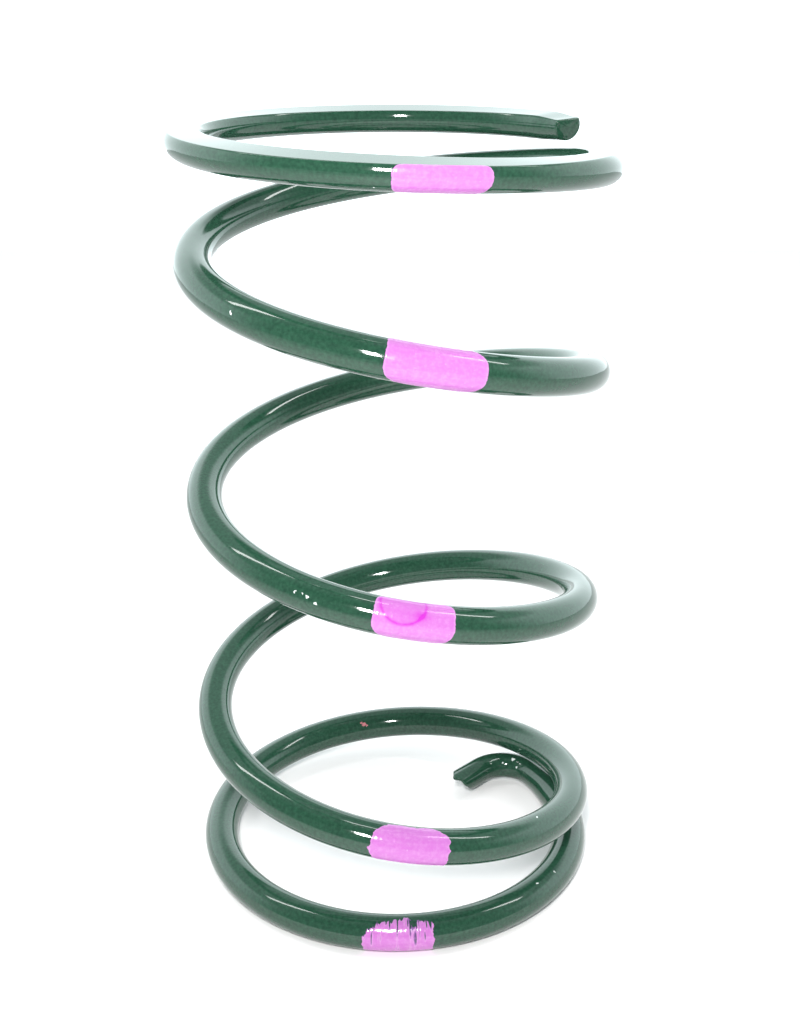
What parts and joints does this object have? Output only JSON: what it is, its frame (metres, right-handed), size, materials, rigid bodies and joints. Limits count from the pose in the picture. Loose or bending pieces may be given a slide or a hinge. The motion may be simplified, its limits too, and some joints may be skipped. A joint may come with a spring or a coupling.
{
  "type": "suspension coil spring",
  "caption": "Left-hand wound helical compression spring of round steel wire, with flat end coils, an inward pigtail at the bottom, tapered ends and painted identification marks.",
  "frame": {"origin": "on the coil's axis, in the plane that the lower end coil stands on", "axes": "+Z along the coil's axis towards the upper end; +X towards the side of the lower end coil where the pigtail begins; -Y towards the paint marks"},
  "size_m": [0.1486, 0.1488, 0.2747],
  "materials": {
    "enamel": "gloss",
    "marking_paint": "satin"
  },
  "bodies": {
    "lower_end": {"lower_end_coil": "enamel", "paint_mark_1": "marking_paint"},
    "arc_01": {"coil_arc_01": "enamel"},
    "arc_02": {"coil_arc_02": "enamel"},
    "arc_03": {"coil_arc_03": "enamel", "paint_mark_2": "marking_paint"},
    "arc_04": {"coil_arc_04": "enamel"},
    "arc_05": {"coil_arc_05": "enamel"},
    "arc_06": {"coil_arc_06": "enamel"},
    "arc_07": {"coil_arc_07": "enamel"},
    "arc_08": {"coil_arc_08": "enamel"},
    "arc_09": {"coil_arc_09": "enamel", "paint_mark_3": "marking_paint"},
    "arc_10": {"coil_arc_10": "enamel"},
    "arc_11": {"coil_arc_11": "enamel"},
    "arc_12": {"coil_arc_12": "enamel"},
    "arc_13": {"coil_arc_13": "enamel"},
    "arc_14": {"coil_arc_14": "enamel"},
    "arc_15": {"coil_arc_15": "enamel", "paint_mark_4": "marking_paint"},
    "arc_16": {"coil_arc_16": "enamel"},
    "arc_17": {"coil_arc_17": "enamel"},
    "arc_18": {"coil_arc_18": "enamel"},
    "arc_19": {"coil_arc_19": "enamel"},
    "upper_end": {"upper_end_coil": "enamel", "paint_mark_5": "marking_paint"}
  },
  "joints": [
    {"name": "twist_01", "type": "hinge", "parent": "lower_end", "child": "arc_01", "pos_m": [0.034, 0.05889, 0.01665], "axis": [0.8615, -0.4974, 0.1015], "range_deg": [0, 0.47], "stiffness_Nm_per_rad": 2600},
    {"name": "twist_02", "type": "hinge", "parent": "arc_01", "child": "arc_02", "pos_m": [0.068, 0, 0.02531], "axis": [0, -0.9902, 0.1394], "range_deg": [0, 0.48], "stiffness_Nm_per_rad": 2600},
    {"name": "twist_03", "type": "hinge", "parent": "arc_02", "child": "arc_03", "pos_m": [0.034, -0.05889, 0.03654], "axis": [-0.8533, -0.4927, 0.1706], "range_deg": [0, 1.07], "stiffness_Nm_per_rad": 2600},
    {"name": "twist_04", "type": "hinge", "parent": "arc_03", "child": "arc_04", "pos_m": [-0.034, -0.05889, 0.04969], "axis": [-0.8502, 0.4909, 0.1901], "range_deg": [0, 2.7], "stiffness_Nm_per_rad": 2600},
    {"name": "twist_05", "type": "hinge", "parent": "arc_04", "child": "arc_05", "pos_m": [-0.068, 0, 0.06371], "axis": [0, 0.981, 0.194], "range_deg": [0, 5.03], "stiffness_Nm_per_rad": 2600},
    {"name": "twist_06", "type": "hinge", "parent": "arc_05", "child": "arc_06", "pos_m": [-0.034, 0.05889, 0.07779], "axis": [0.8496, 0.4905, 0.194], "range_deg": [0, 7.14], "stiffness_Nm_per_rad": 2600},
    {"name": "twist_07", "type": "hinge", "parent": "arc_06", "child": "arc_07", "pos_m": [0.034, 0.05889, 0.09188], "axis": [0.8496, -0.4905, 0.194], "range_deg": [0, 8.69], "stiffness_Nm_per_rad": 2600},
    {"name": "twist_08", "type": "hinge", "parent": "arc_07", "child": "arc_08", "pos_m": [0.068, 0, 0.10596], "axis": [0, -0.981, 0.194], "range_deg": [0, 9.64], "stiffness_Nm_per_rad": 2600},
    {"name": "twist_09", "type": "hinge", "parent": "arc_08", "child": "arc_09", "pos_m": [0.034, -0.05889, 0.12004], "axis": [-0.8496, -0.4905, 0.194], "range_deg": [0, 10.04], "stiffness_Nm_per_rad": 2600},
    {"name": "twist_10", "type": "hinge", "parent": "arc_09", "child": "arc_10", "pos_m": [-0.034, -0.05889, 0.13413], "axis": [-0.8496, 0.4905, 0.194], "range_deg": [0, 9.99], "stiffness_Nm_per_rad": 2600},
    {"name": "twist_11", "type": "hinge", "parent": "arc_10", "child": "arc_11", "pos_m": [-0.068, 0, 0.14821], "axis": [0, 0.981, 0.194], "range_deg": [0, 9.68], "stiffness_Nm_per_rad": 2600},
    {"name": "twist_12", "type": "hinge", "parent": "arc_11", "child": "arc_12", "pos_m": [-0.034, 0.05889, 0.16229], "axis": [0.8496, 0.4905, 0.194], "range_deg": [0, 9.41], "stiffness_Nm_per_rad": 2600},
    {"name": "twist_13", "type": "hinge", "parent": "arc_12", "child": "arc_13", "pos_m": [0.034, 0.05889, 0.17638], "axis": [0.8496, -0.4905, 0.194], "range_deg": [0, 9.48], "stiffness_Nm_per_rad": 2600},
    {"name": "twist_14", "type": "hinge", "parent": "arc_13", "child": "arc_14", "pos_m": [0.068, 0, 0.19046], "axis": [0, -0.981, 0.194], "range_deg": [0, 9.81], "stiffness_Nm_per_rad": 2600},
    {"name": "twist_15", "type": "hinge", "parent": "arc_14", "child": "arc_15", "pos_m": [0.034, -0.05889, 0.20454], "axis": [-0.8496, -0.4905, 0.194], "range_deg": [0, 9.84], "stiffness_Nm_per_rad": 2600},
    {"name": "twist_16", "type": "hinge", "parent": "arc_15", "child": "arc_16", "pos_m": [-0.034, -0.05889, 0.21846], "axis": [-0.8506, 0.4911, 0.1876], "range_deg": [0, 8.93], "stiffness_Nm_per_rad": 2600},
    {"name": "twist_17", "type": "hinge", "parent": "arc_16", "child": "arc_17", "pos_m": [-0.068, 0, 0.23149], "axis": [0, 0.9852, 0.1711], "range_deg": [0, 7.01], "stiffness_Nm_per_rad": 2600},
    {"name": "twist_18", "type": "hinge", "parent": "arc_17", "child": "arc_18", "pos_m": [-0.034, 0.05889, 0.24301], "axis": [0.8566, 0.4946, 0.1471], "range_deg": [0, 4.75], "stiffness_Nm_per_rad": 2600},
    {"name": "twist_19", "type": "hinge", "parent": "arc_18", "child": "arc_19", "pos_m": [0.034, 0.05889, 0.25256], "axis": [0.86, -0.4965, 0.1182], "range_deg": [0, 2.94], "stiffness_Nm_per_rad": 2600},
    {"name": "twist_20", "type": "hinge", "parent": "arc_19", "child": "upper_end", "pos_m": [0.068, 0, 0.25992], "axis": [0, -0.9962, 0.0872], "range_deg": [0, 1.58], "stiffness_Nm_per_rad": 2600}
  ],
  "couplings": [
    {"joint": "twist_01", "follows": "twist_04", "ratio": 0.157},
    {"joint": "twist_02", "follows": "twist_04", "ratio": 0.161},
    {"joint": "twist_03", "follows": "twist_04", "ratio": 0.379},
    {"joint": "twist_05", "follows": "twist_04", "ratio": 1.843},
    {"joint": "twist_06", "follows": "twist_04", "ratio": 2.625},
    {"joint": "twist_07", "follows": "twist_04", "ratio": 3.199},
    {"joint": "twist_08", "follows": "twist_04", "ratio": 3.55},
    {"joint": "twist_09", "follows": "twist_04", "ratio": 3.7},
    {"joint": "twist_10", "follows": "twist_04", "ratio": 3.682},
    {"joint": "twist_11", "follows": "twist_04", "ratio": 3.565},
    {"joint": "twist_12", "follows": "twist_04", "ratio": 3.468},
    {"joint": "twist_13", "follows": "twist_04", "ratio": 3.492},
    {"joint": "twist_14", "follows": "twist_04", "ratio": 3.614},
    {"joint": "twist_15", "follows": "twist_04", "ratio": 3.626},
    {"joint": "twist_16", "follows": "twist_04", "ratio": 3.288},
    {"joint": "twist_17", "follows": "twist_04", "ratio": 2.576},
    {"joint": "twist_18", "follows": "twist_04", "ratio": 1.74},
    {"joint": "twist_19", "follows": "twist_04", "ratio": 1.069},
    {"joint": "twist_20", "follows": "twist_04", "ratio": 0.566}
  ]
}
